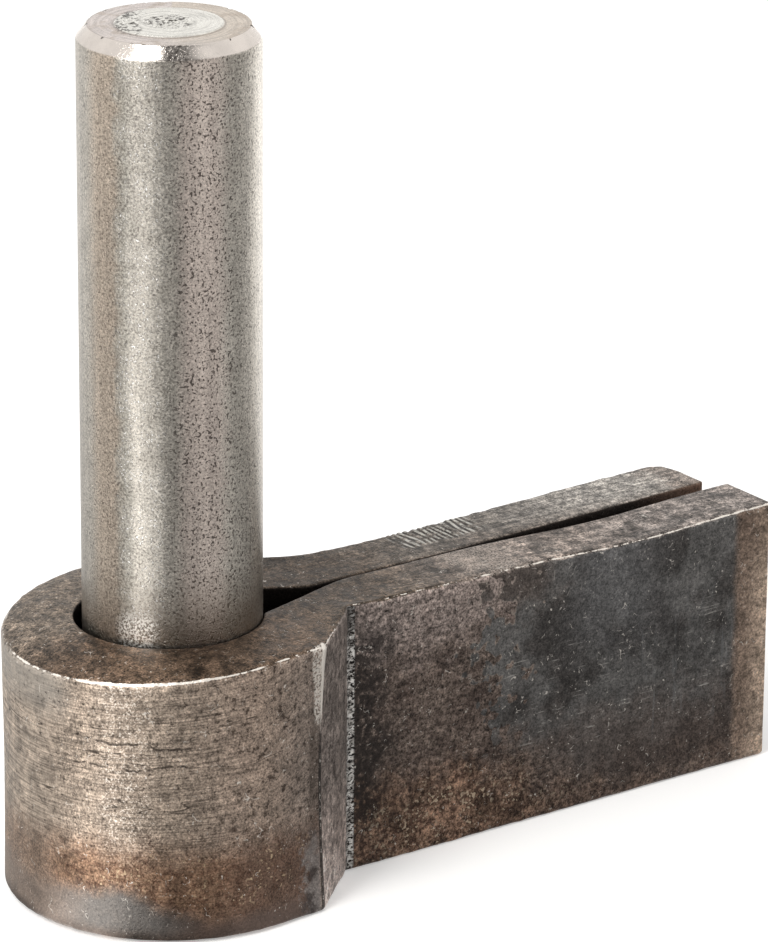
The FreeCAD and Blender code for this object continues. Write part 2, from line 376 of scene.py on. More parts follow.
def rounded_path(corners):
    """Polyline with each (point, radius) corner turned into an arc."""
    points = [np.asarray(point, dtype=float) for point, _ in corners]
    path = [points[0]]
    for (_, radius), before, here, after in zip(corners[1:], points, points[1:], points[2:]):
        if radius <= 0.0:
            path.append(here)
            continue
        reaches = [np.linalg.norm(before - here), np.linalg.norm(after - here)]
        back = (before - here) / reaches[0]
        on = (after - here) / reaches[1]
        half = math.acos(float(np.clip(np.dot(back, on), -1.0, 1.0))) / 2.0
        cut = min(radius / math.tan(half), LONGEST_CUT * min(reaches))
        radius = cut * math.tan(half)
        middle = back + on
        centre = here + middle / np.linalg.norm(middle) * radius / math.sin(half)
        start, finish = (math.atan2(*(here + way * cut - centre)[::-1]) for way in (back, on))
        sweep = (finish - start + math.pi) % (2.0 * math.pi) - math.pi
        turns = np.degrees(start + sweep * np.linspace(0.0, 1.0, FILLET_STEPS))
        path += list(centre + radius * circle(turns))
    path.append(points[-1])
    return np.array(path)


def outer_path():
    """Outer side of the bar, from the front leg's end round the eye to the back leg's end."""
    start = tangent_degrees(FRONT_RIDGE, -1.0)
    finish = tangent_degrees(BACK_RIDGE, 1.0) - 360.0
    return rounded_path([
        ((FRONT_STOP, FRONT_OUT + FRONT_END_ROUND), 0.0), ((FRONT_STOP, FRONT_OUT), FRONT_END_ROUND),
        (FRONT_CORNER, 0.8), (FRONT_RIDGE, 0.9),
        *[(point, 0.0) for point in eye_arc(EYE_R, start, finish)],
        (BACK_RIDGE, 4.0), (BACK_CORNER, 8.0), ((WEDGE_START, BACK_OUT), WEDGE_ROUND),
        ((BACK_STOP, BACK_OUT + WEDGE), BACK_END_ROUND),
        ((BACK_STOP, BACK_OUT + WEDGE - BACK_END_ROUND), 0.0)])


def inner_path():
    """Inner side of the bar, the same way round."""
    first, *others = eye_arc(BORE_R, THROAT_FRONT_DEGREES, THROAT_BACK_DEGREES - 360.0)
    return rounded_path([
        ((FRONT_STOP, FRONT_IN), 0.0), (FRONT_THROAT, 12.0), (first, 1.5),
        *[(point, 0.0) for point in others],
        (BACK_THROAT, 3.0), ((WEDGE_START, BACK_IN), WEDGE_ROUND), ((BACK_STOP, BACK_IN + WEDGE), 0.0)])


# Stations pair the outer and inner lines along the bar: outer point, inner point, steps to the next
MARK_START = 26.0
MARK_END = 37.0
STATIONS = [
    ((FRONT_STOP, FRONT_OUT + FRONT_END_ROUND), (FRONT_STOP, FRONT_IN), 10),
    ((FRONT_STOP - 1.0, FRONT_OUT), (FRONT_STOP - 1.0, FRONT_IN), 140),
    ((17.0, FRONT_OUT), FRONT_THROAT, 40),
    (FRONT_CORNER, (12.0, -2.9), 44),
    (FRONT_RIDGE, (6.9, -4.4), 40),
    ((-0.3, -14.65), (-0.3, -8.2), 90),
    ((-15.12, 0.2), (-8.67, 0.2), 90),
    ((-0.3, 15.05), (-0.3, 8.6), 36),
    (BACK_RIDGE, (6.4, 5.4), 44),
    (BACK_CORNER, (9.4, 1.0), 30),
    ((20.5, BACK_OUT), (15.0, BACK_IN), 22),
    *[((x, BACK_OUT + wedge(x)), (x, BACK_IN + wedge(x)), steps)
      for x, steps in ((MARK_START, 76), (MARK_END, 60), (BACK_STOP - 4.0, 30))],
    ((BACK_STOP, BACK_OUT + WEDGE - BACK_END_ROUND), (BACK_STOP, BACK_IN + WEDGE), 0),
]
CORNER_STATION = 3
RIDGE_STATION = 4
LATE_STATION = 7
BACK_RIDGE_STATION = 8
BACK_CORNER_STATION = 9


def nearest_length(path, lengths, point, late):
    """Distance along a path, in its first or second half, of its place nearest to a point."""
    start = path[:-1]
    run = np.diff(path, axis=0)
    size = np.maximum(np.linalg.norm(run, axis=1), 1e-9)
    part = np.clip(np.sum((np.asarray(point) - start) * run, axis=1) / size ** 2, 0.0, 1.0)
    miss = np.linalg.norm(start + run * part[:, None] - point, axis=1)
    miss[(lengths[:-1] > 0.5 * lengths[-1]) != late] = np.inf
    best = np.argmin(miss)
    return lengths[best] + part[best] * size[best]


def along_stations(path, column):
    """Points of a path that stand at the stations and between them, and how far along they are."""
    lengths = path_lengths(path)
    marks = [nearest_length(path, lengths, station[column], index >= LATE_STATION)
             for index, station in enumerate(STATIONS)]
    starts = np.cumsum([0] + [steps for _, _, steps in STATIONS[:-1]])
    run = np.interp(np.arange(starts[-1] + 1), starts, marks)
    line = np.stack([np.interp(run, lengths, path[:, axis]) for axis in (0, 1)], axis=1)
    return line, run, marks


# Rings beyond both ends that round the cut faces' edges
end_turn = np.radians(np.linspace(0.0, 90.0, END_STEPS + 1)[1:])
end_reach = END_EDGE * np.sin(end_turn)
end_inset = END_EDGE * (1.0 - np.cos(end_turn))


def with_ends(line):
    """Plan line with the end rings' places added to it."""
    first = line[0] + np.outer(end_reach[::-1], (1.0, 0.0))
    last = line[-1] + np.outer(end_reach, (1.0, 0.0))
    return np.concatenate([first, line, last])


# Section of the bar, from the inner side of the top face round the outer side
OUTER_EDGE = 0.42
INNER_EDGE = 0.25
TOP_STEPS = 16
SIDE_STEPS = 54
UNDER_STEPS = 10
INNER_STEPS = 12
EDGE_STEPS = 6
INNER_EDGE_STEPS = 3


def section(thickness):
    """Closed outline of one section: distance from the inner face, height, and outer edge mask."""
    outer = thickness - OUTER_EDGE
    corners = (((outer, TOP - OUTER_EDGE), OUTER_EDGE, EDGE_STEPS, TOP_STEPS),
               ((outer, UNDER + OUTER_EDGE), OUTER_EDGE, EDGE_STEPS, SIDE_STEPS),
               ((INNER_EDGE, UNDER + INNER_EDGE), INNER_EDGE, INNER_EDGE_STEPS, UNDER_STEPS),
               ((INNER_EDGE, TOP - INNER_EDGE), INNER_EDGE, INNER_EDGE_STEPS, INNER_STEPS))
    rows = []
    here = np.array((INNER_EDGE, TOP))
    start = 90.0
    for centre, radius, bend_steps, run_steps in corners:
        bend = centre + radius * circle(np.linspace(start, start - 90.0, bend_steps + 1))
        run = here + np.arange(run_steps)[:, None] / run_steps * (bend[0] - here)
        worn = np.sin(np.pi * (np.arange(bend_steps) + 0.5) / bend_steps) * (radius == OUTER_EDGE)
        rows += [np.column_stack([run, np.zeros(run_steps)]), np.column_stack([bend[:-1], worn])]
        here = bend[-1]
        start -= 90.0
    return np.concatenate(rows)


TOP_DROP = 1.6
SADDLE_X = 4.0
SADDLE_START = 12.5
SADDLE_REACH = 7.0
UNDER_LIFT = 0.25
WAIST = 0.15
RIDGE_WAIST = 0.75
CORNER_BULGE = 0.4
LEG_SAG = 0.4
SAG_X = 46.0
SAG_WIDTH = 9.0
MARK_PITCH = 0.66
MARK_DEPTH = 0.08
MARK_WANDER = 2.4
CRUMB_DEPTH = 0.11
WAVE_RISE = 0.02
DENT_RISE = 0.015
EDGE_WEAR = 0.07
EDGE_LOSS = 0.05
STREAK_RISE = 0.008
STREAK_CUT = 0.012
SEAM_V_STEP = 0.1


def strap_faces(run, girth):
    """Faces of the swept bar with a cap at each end, and the unrolled coordinates of the sides."""
    count, around = girth.shape
    faces = []
    uv = []
    for index in range(count - 1):
        base = index * around
        for step in range(around):
            follow = (step + 1) % around
            faces.append((base + step, base + around + step, base + around + follow, base + follow))
            here = girth[index, step]
            beyond = girth[index, follow] if follow else here + SEAM_V_STEP
            uv += [(run[index], here), (run[index + 1], here), (run[index + 1], beyond), (run[index], beyond)]
    last = (count - 1) * around
    caps = [tuple(range(around)), tuple(range(last + around - 1, last - 1, -1))]
    return faces, caps, uv


def build_strap():
    """Swept bar with the saddle shape, worn edges and streaks that bending leaves."""
    outer_line, run, marks = along_stations(outer_path(), 0)
    inner_line = with_ends(along_stations(inner_path(), 1)[0])
    outer_line = with_ends(outer_line)
    inset = np.concatenate([end_inset[::-1], np.zeros(len(run)), end_inset])[:, None]
    flat_run = np.concatenate([run[0] - end_reach[::-1], run, run[-1] + end_reach])
    run = flat_run[:, None]
    corner = marks[CORNER_STATION]
    ridge = marks[RIDGE_STATION]
    back_ridge = marks[BACK_RIDGE_STATION]
    back_corner = marks[BACK_CORNER_STATION]

    across = outer_line - inner_line
    thickness = np.linalg.norm(across, axis=1)[:, None]
    across = across / thickness
    thin, level, edge = section(0.0).T
    growth = section(1.0)[:, 0] - thin
    out = np.clip(thin + growth * thickness, inset, thickness - inset)
    level = np.clip(level, UNDER + inset, TOP - inset)
    part = out / thickness
    height = (level - UNDER) / (TOP - UNDER)
    upper = smooth_step(height, 0.0, 1.0)
    side = part * smooth_step(part, 0.9, 1.0)
    steps = np.hypot(np.diff(out, axis=1), np.diff(level, axis=1))
    girth = np.concatenate([np.zeros((len(run), 1)), np.cumsum(steps, axis=1)], axis=1)

    eye_weight = plateau(run, ridge - 2.0, ridge + 9.0, back_ridge - 9.0, back_ridge + 2.0)
    waist = eye_weight * WAIST * part + RIDGE_WAIST * hump(run, ridge, 3.5) * part ** 3
    out = out - waist * (1.0 - (2.0 * height - 1.0) ** 2)
    x = inner_line[:, :1] + across[:, :1] * out
    y = inner_line[:, 1:] + across[:, 1:] * out
    saddle = np.clip((np.hypot(x - SADDLE_X, y) - SADDLE_START) / SADDLE_REACH, 0.0, 1.0) ** 2
    bulge = hump(run, corner + 0.3, 2.6) + 0.5 * hump(run, corner - 6.0, 5.0)
    bulge = bulge + 0.7 * hump(run, back_corner, 4.0)
    sag = (1.0 - smooth_step(run, corner - 6.0, corner)) * LEG_SAG * hump(x, SAG_X, SAG_WIDTH)
    drop = eye_weight * TOP_DROP * saddle - bulge * CORNER_BULGE * part ** 3 + sag
    lift = eye_weight * UNDER_LIFT * part ** 2
    points = np.stack([x, y, level - drop * upper + lift * (1.0 - upper)], axis=2)

    struck = plateau(x, MARK_START, MARK_START + 1.5, MARK_END - 2.5, MARK_END - 0.5)
    struck = struck * smooth_step(run, back_corner, back_corner + 6.0)
    struck = struck * smooth_step(part, 0.3, 0.5) * smooth_step(height, 0.98, 1.0)
    wander = MARK_WANDER * lattice_noise(points, (1.7, 2.6, 1.0), 10)
    mark = struck * np.sin(2.0 * math.pi * x / MARK_PITCH + wander)
    crease = hump(run, corner - 0.12, 0.6) * side
    unrolled = np.stack([run + 0.0 * girth, girth, 0.0 * girth], axis=2)
    streak = noise_sum(unrolled, (1.0, (9.0, 0.55, 1.0), 5), (0.6, (4.0, 0.3, 1.0), 6))
    move = noise_sum(points, (WAVE_RISE, 6.0, 1), (DENT_RISE, 2.3, 2))
    move += edge * (EDGE_WEAR * noise_sum(points, (1.0, 1.1, 3), (0.6, 0.5, 4)) - EDGE_LOSS)
    move += side * eye_weight * (STREAK_RISE * streak - STREAK_CUT * smooth_step(streak, 0.75, 1.3))
    move += MARK_DEPTH * mark * (0.6 + 0.6 * lattice_noise(points, 1.6, 9))
    move += CRUMB_DEPTH * crease * noise_sum(points, (1.0, 0.45, 7), (0.7, 0.9, 8))
    round_about = np.roll(points, -1, axis=1) - np.roll(points, 1, axis=1)
    normals = np.cross(np.gradient(points, axis=0), round_about)
    normals /= np.maximum(np.linalg.norm(normals, axis=2), 1e-9)[:, :, None]
    flat = (points + normals * move[:, :, None]).reshape(-1, 3)
    flat[:, 0] = np.minimum(flat[:, 0], FRONT_END)
    flat[:, 2] = np.maximum(flat[:, 2], UNDER)

    attributes = {
        "edge": edge,
        "eye_side": plateau(run, ridge - 0.6, ridge + 0.6, back_ridge - 2.0, back_ridge + 6.0),
        "ridge": hump(run, ridge + 0.45, 0.95) * side,
        "ridge_line": hump(run, ridge - 0.05, 0.32) * side,
        "mark": mark,
        "crease": crease,
        "seam": 1.0 - smooth_step(part, 0.004, 0.02),
        "outside": side,
        "facet": plateau(run, corner - 0.4, corner + 0.4, ridge - 0.5, ridge + 0.5) * side,
    }
    attributes = {key: np.broadcast_to(values, part.shape) for key, values in attributes.items()}
    faces, caps, uv = strap_faces(flat_run, girth)
    for cap in caps:
        uv += [(flat[index, 1], flat[index, 2]) for index in cap]
    return make_mesh("strap_bar", flat, faces + caps, uv, attributes)


strap = build_strap()
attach(strap, BODY)
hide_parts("strap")

# Pin: turned bar with a faced and chamfered end

PIN_R = 8.0
PIN_TOP = 54.0
PIN_FOOT = -22.8
FOOT_R = 6.6
ROOT_R = 7.8
PIN_TURNS = 224
DISC_R = 4.65
DISC_STEP = 0.14
CHAMFER_R = 7.05
CHAMFER_Z = 52.72
SHOULDER_Z = 53.85
RING_DEPTH = 0.006
RING_PITCH = 0.42
TORN_RISE = 0.05
TORN_DEPTH = 0.12
PIP_DEPTH = 0.10
NICK_DEPTH = 0.09


def pin_profile():
    """Radius and height along the bar, from its foot to the middle of its end."""
    profile = [(3.0, PIN_FOOT), (FOOT_R, PIN_FOOT), (ROOT_R, PIN_FOOT + 1.2), (ROOT_R, -4.5), (PIN_R, -4.2)]
    profile += [(PIN_R, z) for z in np.linspace(-3.5, 52.5, 90)]
    profile += [(PIN_R - 0.01, CHAMFER_Z - 0.06), (PIN_R - 0.05, CHAMFER_Z + 0.05)]
    for part in np.linspace(0.12, 0.9, 8):
        profile.append((PIN_R + (CHAMFER_R - PIN_R) * part, CHAMFER_Z + (SHOULDER_Z - CHAMFER_Z) * part))
    profile += [(CHAMFER_R + 0.05, SHOULDER_Z - 0.03), (CHAMFER_R, SHOULDER_Z),
                (CHAMFER_R - 0.08, SHOULDER_Z + 0.01)]
    for radius in np.linspace(CHAMFER_R - 0.16, 0.06, 100):
        rise = DISC_STEP * (1.0 - smooth_step(radius, DISC_R - 0.06, DISC_R + 0.12))
        rings = RING_DEPTH * math.sin(radius * 2.0 * math.pi / RING_PITCH)
        profile.append((radius, SHOULDER_Z + 0.004 + rise + rings))
    return np.array(profile)


def build_pin():
    """Lathe of the bar, with facing rings, a torn centre on its end and nicks in the rim below."""
    profile = pin_profile()
    radius, angle, height = turned(profile, PIN_TURNS)
    flat = placed((0.0, 0.0), radius, angle, height)
    on_top = 1.0 - smooth_step(radius, CHAMFER_R - 0.12, CHAMFER_R - 0.04)
    on_top = on_top * smooth_step(height, SHOULDER_Z - 1.0, SHOULDER_Z - 0.5)
    right = flat[:, 0] * RIGHT.x + flat[:, 1] * RIGHT.y
    torn = np.maximum(1.0 - smooth_step(radius, 0.6, 3.0), hump(right, -3.6, 1.2) * hump(radius, 3.6, 1.4))
    torn = torn * on_top
    ragged = noise_sum(flat, (1.0, 0.55, 11), (0.7, 0.24, 12))
    flat[:, 2] += torn * (TORN_RISE * ragged - TORN_DEPTH * smooth_step(ragged, 0.55, 1.1))
    pip = on_top * (1.0 - smooth_step(radius, 0.35, 1.1))
    flat[:, 2] -= pip * PIP_DEPTH * (1.0 + lattice_noise(flat, 0.4, 13))
    nick = hump(radius, CHAMFER_R, 0.16) * smooth_step(flat[:, 2], 50.0, 51.0)
    nick = nick * smooth_step(noise_sum(flat, (1.0, 0.5, 14), (0.5, 0.2, 15)), 0.35, 0.9)
    flat[:, 2] -= NICK_DEPTH * nick
    flat[:, 2] = np.minimum(flat[:, 2], PIN_TOP)
    poles = [(0.0, 0.0, PIN_FOOT), (0.0, 0.0, flat[-PIN_TURNS:, 2].mean())]
    attributes = {"torn": np.append(torn, (0.0, 1.0)), "nick": np.append(nick, (0.0, 0.0))}
    return make_mesh("pin_bar", np.concatenate([flat, poles]), *lathe_faces(profile, PIN_TURNS), attributes)


pin = build_pin()
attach(pin, BODY)
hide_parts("pin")

# Weld: rippled run of metal that closes the foot of the eye round the pin's root

WELD_FOOT = -24.8
WELD_TOP = -19.8
WELD_R = BORE_R - 0.02
WELD_TURNS = 180
WELD_RIPPLES = 46
SEAT_GAP = 0.03
FOOT_SEAT = PIN_FOOT - 0.02
BEAD_R = 5.6
BEAD_HALF = 2.8
BEAD_RISE = 0.3
RIPPLE_RISE = 0.06
CRATER_R = 3.2
CRATER_DEPTH = 0.7


def build_weld():
    """Lathe of the weld with crescent ripples along its ring and a crater where it ended."""
    under = [(radius, WELD_FOOT) for radius in np.linspace(0.15, WELD_R - 0.15, 60)]
    rest = [(WELD_R, WELD_FOOT + 0.2), (WELD_R, WELD_TOP), (ROOT_R + SEAT_GAP, WELD_TOP),
            (ROOT_R + SEAT_GAP, PIN_FOOT + 1.25), (FOOT_R, FOOT_SEAT), (0.2, FOOT_SEAT)]
    profile = np.array(under + rest)
    radius, angle, height = turned(profile, WELD_TURNS)
    lower = np.arange(len(radius)) < len(under) * WELD_TURNS
    out = np.clip((radius - BEAD_R) / BEAD_HALF, -1.0, 1.0)
    wander = lattice_noise(placed((0.0, 0.0), radius, angle, height), 2.0, 21)
    ripple = RIPPLE_RISE * np.sin(angle * WELD_RIPPLES + 2.6 * out ** 2 + 1.2 * wander)
    bead = (1.0 - out ** 2) * (BEAD_RISE + ripple)
    crater = CRATER_DEPTH * (1.0 - smooth_step(radius, 0.0, CRATER_R))
    flat = placed(EYE, radius, angle, height + lower * (crater + 0.08 * wander - bead))
    poles = [(*EYE, flat[:WELD_TURNS, 2].mean()), (*EYE, FOOT_SEAT)]
    return make_mesh("weld_run", np.concatenate([flat, poles]), *lathe_faces(profile, WELD_TURNS), {})


weld = build_weld()
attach(weld, BODY)
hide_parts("weld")


# Materials: places in millimetres, turns in degrees, colours in screen values

class StrapSteel(Steel):
    """Dark folded bar: mill scale, rust and heat tints, bright worn edges."""

    def __init__(self):
        super().__init__("strap_steel")
        self.unrolled = self.unrolled_mm()
        self.around = self.turn(self.place)
        self.front = self.ramp(self.y, -6.5, -7.8)
        self.broad = self.noise(0.15, 3)
        self.medium = self.noise(0.55, 5, 0.6)
        self.small = self.noise(1.7, 4, 0.62)
        self.fine = self.noise(5.5, 3, 0.65)
        warp = self.noise(0.3, 6, 0.68, output="Color")
        self.ragged_x, _, self.ragged_z = self.split(self.shift(self.place, warp, 11))
        self.pits = self.ramp(self.noise(3.4, 1, 0.5), 0.33, 0.27)
        self.cluster = self.ramp(self.noise(0.45, 3), 0.44, 0.62)
        self.inner = self.attribute("seam")
        self.border = self.add(self.noise(0.8, 1.5, 0.5), 23, self.x)

    def blotched(self, colour, medium, small):
        """Colour varied by the two wider noises."""
        return self.varied(self.varied(colour, self.medium, *medium), self.small, *small)

    def specks(self):
        """Stray bright dots and curls."""
        dots = self.all_of((self.noise(3.4, 2, 0.6), 0.665, 0.70),
                           (self.noise(0.7, 4, 0.6), 0.5, 0.64))
        thread = self.gap(self.noise(0.6, 2, 0.5), 0.5)
        rare = self.noise(0.5, 4, 0.65, self.shift(self.place, self.place, 0.7))
        curls = self.all_of((thread, 0.009, 0.003), (rare, 0.57, 0.62), 0.8)
        return self.all_of(self.either(dots, curls), self.less(1.0, self.inner))

    def leg(self):
        """Front and back legs: brown-grey bar, scale patch, rust below, pale strip at the end."""
        colour = self.mix((self.medium, 0.36, 0.64), (92, 80, 74), (120, 107, 99))
        colour = self.layer(
            colour,
            ((150, 137, 131), (self.ragged_z, -8, -2), self.front, (self.ragged_x, 37, 28)))
        colour = self.varied(colour, self.noise((0.16, 1.9, 1), 4, 0.65, self.unrolled), 0.72, 1.3)
        colour = self.grained(self.varied(colour, self.small, 0.55, 1.5), 0.4, 1.75)
        colour = self.layer(colour, ((34, 29, 27), 0.8, self.pits))
        colour = self.patched(self.rusted(colour))
        wavy = self.math("ADD", self.x, self.medium)
        return self.layer(
            colour,
            ((168, 157, 148), 0.6, (self.border, 40.3, 41), (self.border, 42, 41.4), self.front,
             (self.z, -13, -9), (self.small, 0.42, 0.55)),
            (self.end_strip(), (wavy, 57.6, 58.9), self.front))

    def rusted(self, colour):
        """Rust along the foot of the front leg."""
        rust = self.mix((self.small, 0.38, 0.62), (86, 66, 56), (148, 120, 101))
        rust = self.varied(self.grained(rust, 0.34, 1.9), self.medium, 0.5, 1.5)
        rust = self.tone(rust, self.ramp(self.x, 25, 33, 1.0, 0.76))
        bits = (self.noise(3, 1.5, 0.5), 0.59, 0.64)
        rust = self.layer(rust, ((222, 202, 176), 0.9, bits, self.cluster))
        depth = self.less(self.ragged_z, self.ramp(self.x, 26, 40, -16, -21.5))
        return self.layer(colour, (rust, 0.9, (depth, 0.5, -4.5), (self.x, 44, 28, 0.45, 1.0), self.front))

    def patched(self, colour):
        """Patch of dark mill scale with scratches and smears."""
        patch = self.mix((self.broad, 0.42, 0.58), (73, 71, 70), (106, 105, 104))
        patch = self.layer(
            patch,
            ((110, 110, 111), 0.75, (self.x, 35, 42), (self.x, 52, 44), (self.ragged_z, -13, -6)),
            ((84, 73, 67), 0.7, (self.ragged_z, -6.5, -2), (self.ragged_x, 40, 34)),
            ((100, 86, 79), (self.ragged_z, -13, -20, 0, 0.55)))
        patch = self.grained(self.blotched(patch, (0.82, 1.2), (0.76, 1.28)), 0.62, 1.42)
        low = self.all_of((self.z, -5, -11), (self.z, -22, -17))
        scratch = self.noise((0.22, 4.2, 1), 4, 0.65, self.unrolled)
        smear = self.noise((1.3, 0.12, 1), 3, 0.6, self.unrolled)
        patch = self.layer(
            patch,
            ((190, 187, 182), 0.85, (scratch, 0.6, 0.65), (self.medium, 0.47, 0.58), low),
            ((138, 140, 142), 0.4, (smear, 0.56, 0.68), (self.x, 42, 47), low))
        foot = self.math("ADD", self.ragged_z, self.ramp(self.x, 30, 44, 0, 6))
        return self.layer(
            colour,
            (patch, 0.93, (self.border, 41.2, 41.7), (self.x, 58.3, 57.3), (foot, -20, -14.5), self.front))

    def end_strip(self):
        colour = self.mix((self.x, 58.4, 61.2), (140, 122, 109), (184, 164, 147))
        colour = self.layer(colour, ((112, 95, 84), (self.ragged_z, -7, -2, 0, 0.6)))
        return self.grained(self.blotched(colour, (0.7, 1.3), (0.64, 1.4)), 0.6, 1.5)

    def eye(self):
        """Side of the eye: paler worn bar with fine streaks along the bend, painted lighter towards the lamp
        and darker to the right.
        """
        # Painted light and shade: paler at the left, towards the lamp, and darker round to the right.
        colour = self.mix((self.around, -52, -30), (177, 163, 149), (165, 150, 136))
        colour = self.layer(
            colour,
            ((155, 138, 125), (self.around, -4, 32)),
            ((148, 134, 124), (self.around, 34, 56)))
        lines = self.noise((0.2, 4.4, 1), 4, 0.7, self.unrolled)
        streaked = self.varied(colour, lines, 0.6, 1.36, 0.38, 0.60)
        colour = self.mix((self.around, 12, 40, 0, 0.6), streaked, colour)
        colour = self.blotched(colour, (0.76, 1.2), (0.72, 1.28))
        calm = self.grained(colour, 0.86, 1.14)
        colour = self.mix((self.around, -34, -46), self.grained(colour, 0.52, 1.55), calm)
        # Darker band just before the ridge, where the surface bends inwards: painted shade.
        groove = (self.attribute("ridge"), 0.1, 0.6)
        colour = self.layer(
            colour,
            # Smooth pale grey just under the rim on the lamp side: a painted sheen.
            ((176, 170, 162), 0.6, (self.around, -30, -44), (self.z, -6.5, -3)),
            # White flecks in an upright column where the lamp's highlight falls: painted glints.
            ((234, 226, 216), 0.85, (self.around, -27, -19), (self.around, -3, -10),
             (self.fine, 0.55, 0.61), (self.small, 0.42, 0.54)),
            ((66, 54, 47), 0.75, (self.small, 0.43, 0.35), (self.around, 0, 28, 0.25, 1.0)),
            # Painted shade in the groove before the ridge.
            ((70, 61, 56), 0.5, groove, (self.ragged_z, -4, -9)),
            ((52, 44, 40), 0.8, self.cracks()),
            ((60, 51, 46), 0.6, self.pits))
        return self.heated(colour)

    def cracks(self):
        """Few long thin cracks that follow the bend."""
        off = self.gap(self.noise((0.05, 0.34, 1), 3, 0.55, self.unrolled), 0.5)
        short = self.all_of((off, 0.007, 0.002), (self.noise(0.3, 3, vector=self.unrolled), 0.5, 0.55),
                            (self.z, -3, -5), (self.z, -17, -13))
        sway = self.noise((0.13, 0.02, 1), 5, 0.6, self.unrolled)
        upper, lower = (self.math("ABSOLUTE", self.add(sway, swing, self.math("ADD", self.z, depth)))
                        for swing, depth in ((4, 4.9), (-4, 10.6)))
        long = self.all_of((self.math("MINIMUM", upper, lower), 0.16, 0.05), (self.around, -36, -31),
                           (self.around, 14, 6), (self.noise(0.8, 3, vector=self.unrolled), 0.44, 0.52))
        return self.either(short, long)

    def heated(self, colour):
        """Red-brown band low on the eye, above blue-grey scale at the left and dark brown at the right."""
        drift = self.add(self.less(self.noise(0.24, 3), 0.5), 3.5, self.z)
        brown = self.mix((self.small, 0.36, 0.62), (100, 71, 54), (142, 110, 86))
        brown = self.layer(
            brown,
            ((146, 124, 108), (self.around, -36, -52)),
            ((98, 74, 61), (self.around, 8, 34)))
        brown = self.varied(self.grained(brown, 0.5, 1.6), self.medium, 0.72, 1.28)
        embers = self.noise(3.2, 1.5, 0.5)
        level = self.math("ADD", self.ramp(self.around, -62, -22, -21.2, -20.4),
                          self.ramp(self.around, -20, 12, 0, -2.6))
        blue = self.mix((self.around, -50, -24), (146, 132, 122), (120, 117, 114))
        blue = self.layer(
            blue,
            ((104, 94, 88), (self.z, -23.6, -25)),
            ((105, 90, 83), (self.around, -6, 14)))
        blue = self.grained(self.varied(blue, self.medium, 0.86, 1.14), 0.84, 1.18)
        slag = self.grained(self.mix((self.medium, 0.42, 0.58), (74, 69, 68), (138, 132, 129)), 0.7, 1.35)
        stray = self.add(self.small, 16, self.around)
        return self.layer(
            colour,
            (brown, 0.85, (drift, -14, -19)),
            ((214, 190, 158), 0.7, (drift, -16, -18), (drift, -22.5, -21), (embers, 0.60, 0.66),
             self.cluster, (self.around, -30, -22)),
            (blue, 0.92, (self.less(drift, level), 1.1, -1.3)),
            (slag, 0.85, (stray, 59, 64), (self.ragged_z, -17, -19.5)))

    def top(self):
        """Upper face: dark brown round the eye, greyer and more worn along the legs, with painted shade on
        the back leg beside the gap.
        """
        back = self.ramp(self.y, -1.3, -0.9)
        front = self.less(1.0, back)
        grey = self.mix(back, self.mix((self.ragged_x, 40, 50), (122, 112, 105), (124, 116, 111)),
                        self.mix((self.x, 34, 52), (105, 99, 93), (154, 149, 143)))
        colour = self.mix((self.x, 4, 14), (99, 83, 70), (92, 80, 69))
        colour = self.layer(
            colour,
            (grey, (self.x, 18, 32)),
            # Painted shade on the back leg's top beside the gap between the legs.
            ((104, 92, 83), 0.45, back, (self.y, 2.2, -0.6), (self.x, 24, 34)),
            ((118, 104, 95), 0.6, back, (self.ragged_x, 55.5, 58.5)),
            ((114, 103, 92), (self.around, -40, -75)),
            ((64, 55, 48), 0.6, (self.y, -9, -4), (self.x, 24, 15), (self.x, 2, 7)))
        streaked = self.varied(colour, self.noise((0.25, 1.9, 1), 5, 0.68), 0.5, 1.6)
        colour = self.mix((self.x, 12, 22), self.varied(colour, self.medium, 0.66, 1.36), streaked)
        blotch = self.varied(colour, self.noise(0.3, 4, 0.6), 0.4, 1.6)
        colour = self.layer(colour, (blotch, (self.x, 14, 26), front))
        colour = self.varied(colour, self.noise((0.8, 0.45, 1), 4, 0.75), 0.4, 1.56)
        colour = self.grained(self.varied(colour, self.small, 0.5, 1.6), 0.36, 1.8)
        mark = self.attribute("mark")
        struck = self.ramp(self.noise(0.9, 4, 0.7), 0.42, 0.56)
        return self.layer(
            colour,
            ((30, 26, 23), 0.95, self.pits),
            ((190, 178, 168), 0.75, (self.ragged_x, 27, 29), (self.ragged_x, 35, 32), front,
             (self.fine, 0.44, 0.58)),
            ((212, 210, 203), 0.85, (mark, 0.02, 0.4), struck),
            ((42, 38, 35), 0.9, (mark, -0.15, -0.55), struck))

    def neck(self):
        """Facet between the ridge and the fold: grey, streaked upright, paler at its foot."""
        colour = self.mix((self.z, -13, -24), (150, 139, 133), (202, 186, 179))
        colour = self.varied(colour, self.noise((1.4, 1.4, 0.16), 4, 0.65), 0.76, 1.26)
        colour = self.grained(self.blotched(colour, (0.74, 1.28), (0.46, 1.58)), 0.58, 1.5)
        return self.layer(colour, ((58, 52, 49), 0.6, self.pits))

    def folded(self, colour):
        """Dark crumbled fold, with painted shade beside its inside corner, a column of pale crumbs beside it
        and a painted shadow line down the ridge.
        """
        crease = self.attribute("crease")
        crumbs = self.mix((self.small, 0.4, 0.6), (172, 167, 162), (248, 245, 241))
        broken = self.noise((2.2, 2.2, 4.6), 3, 0.7)
